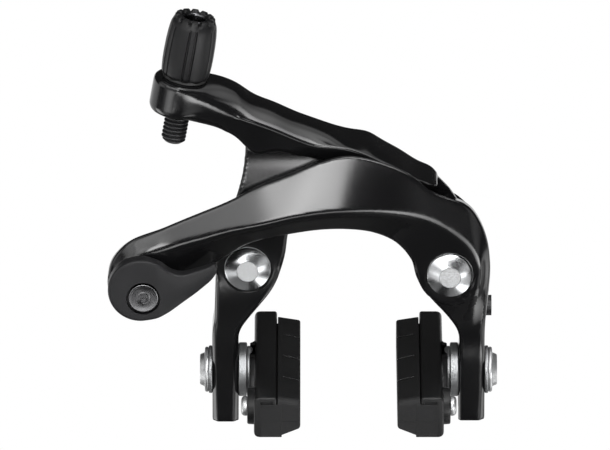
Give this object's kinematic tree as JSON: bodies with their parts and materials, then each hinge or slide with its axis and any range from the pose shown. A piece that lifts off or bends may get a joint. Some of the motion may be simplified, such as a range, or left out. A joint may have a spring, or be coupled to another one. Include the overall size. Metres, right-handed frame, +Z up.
{
  "type": "rim brake caliper",
  "caption": "Direct-mount dual-pivot rim brake caliper: two arms coupled by a roller, brake shoes, cable adjuster, quick release and return spring.",
  "frame": {"origin": "midway between the two frame bolts, on the rear mounting face", "axes": "+X to the right seen from the front, +Y towards the bicycle frame along the bolts, +Z up"},
  "size_m": [0.0945, 0.0572, 0.1055],
  "materials": {
    "arm_paint": "gloss black paint",
    "lever_paint": "satin dark grey paint",
    "holder_paint": "satin black paint",
    "black_screw": "black oxide",
    "plate_steel": "plated steel",
    "turned_steel": "turned and polished",
    "washer_steel": "plated steel",
    "spring_steel": "dark spring wire",
    "seat_metal": "bright aluminium",
    "bush_polymer": "bearing polymer",
    "roller_polymer": "moulded",
    "knob_plastic": "moulded, satin",
    "ring_rubber": "moulded rubber",
    "pad_rubber": "brake compound"
  },
  "bodies": {
    "mount": {"booster_plate": "plate_steel", "left_pivot_axle": "turned_steel", "right_pivot_axle": "turned_steel", "thrust_washers": "washer_steel"},
    "right_arm": {"right_arm": "arm_paint", "right_bush": "bush_polymer", "return_spring": "spring_steel", "centring_screw": "black_screw"},
    "left_arm": {"left_arm": "arm_paint", "left_bush": "bush_polymer", "roller_pin": "turned_steel", "detent_ring": "ring_rubber"},
    "roller": {"sync_roller": "roller_polymer"},
    "quick_release": {"quick_release_lever": "lever_paint", "lever_screw": "black_screw", "cam_shaft": "washer_steel", "cable_clamp_plate": "washer_steel", "cable_fixing_bolt": "turned_steel"},
    "adjuster_carriage": {"housing_seat": "seat_metal"},
    "adjuster": {"adjuster_bolt": "black_screw", "adjuster_knob": "knob_plastic"},
    "left_shoe_slider": {"left_shoe_bolt": "turned_steel", "left_outer_washer": "washer_steel", "left_knurled_washer": "washer_steel"},
    "left_shoe": {"left_convex_washer": "washer_steel", "left_shoe_holder": "holder_paint", "left_pad": "pad_rubber", "left_pad_screw": "turned_steel"},
    "right_shoe_slider": {"right_shoe_bolt": "turned_steel", "right_outer_washer": "washer_steel", "right_knurled_washer": "washer_steel"},
    "right_shoe": {"right_convex_washer": "washer_steel", "right_shoe_holder": "holder_paint", "right_pad": "pad_rubber", "right_pad_screw": "turned_steel"}
  },
  "joints": [
    {"name": "right_arm_pivot", "type": "hinge", "parent": "mount", "child": "right_arm", "pos_m": [0.0245, -0.011, 0], "axis": [0, 1, 0], "range_deg": [-3, 7], "stiffness_Nm_per_rad": 0.6, "deforming": ["return_spring"]},
    {"name": "left_arm_pivot", "type": "hinge", "parent": "mount", "child": "left_arm", "pos_m": [-0.0245, -0.009, 0], "axis": [0, 1, 0], "range_deg": [-7, 3]},
    {"name": "roller_spin", "type": "hinge", "parent": "left_arm", "child": "roller", "pos_m": [0, -0.0125, 0.0268], "axis": [0, 1, 0], "continuous": true},
    {"name": "quick_release_turn", "type": "hinge", "parent": "right_arm", "child": "quick_release", "pos_m": [-0.0496, -0.021, -0.0025], "axis": [0, 1, 0], "range_deg": [0, 80]},
    {"name": "adjuster_slide", "type": "slide", "parent": "left_arm", "child": "adjuster_carriage", "axis": [0.1709, -0.0053, 0.9853], "range_m": [0, 0.006]},
    {"name": "adjuster_turn", "type": "hinge", "parent": "adjuster_carriage", "child": "adjuster", "pos_m": [-0.0404, -0.0127, 0.0442], "axis": [0.1709, -0.0053, 0.9853], "range_deg": [0, 2161]},
    {"name": "left_shoe_height", "type": "slide", "parent": "left_arm", "child": "left_shoe_slider", "axis": [0, 0, 1], "range_m": [-0.0065, 0.0025]},
    {"name": "left_shoe_swivel", "type": "hinge", "parent": "left_shoe_slider", "child": "left_shoe", "pos_m": [-0.022, -0.01, -0.0284], "axis": [1, 0, 0], "range_deg": [-8, 8]},
    {"name": "right_shoe_height", "type": "slide", "parent": "right_arm", "child": "right_shoe_slider", "axis": [0, 0, 1], "range_m": [-0.0065, 0.0025]},
    {"name": "right_shoe_swivel", "type": "hinge", "parent": "right_shoe_slider", "child": "right_shoe", "pos_m": [0.022, -0.01, -0.0284], "axis": [1, 0, 0], "range_deg": [-8, 8]}
  ],
  "couplings": [
    {"joint": "left_arm_pivot", "follows": "right_arm_pivot", "ratio": -1},
    {"joint": "adjuster_turn", "follows": "adjuster_slide", "rad_per_m": 6283.2}
  ]
}
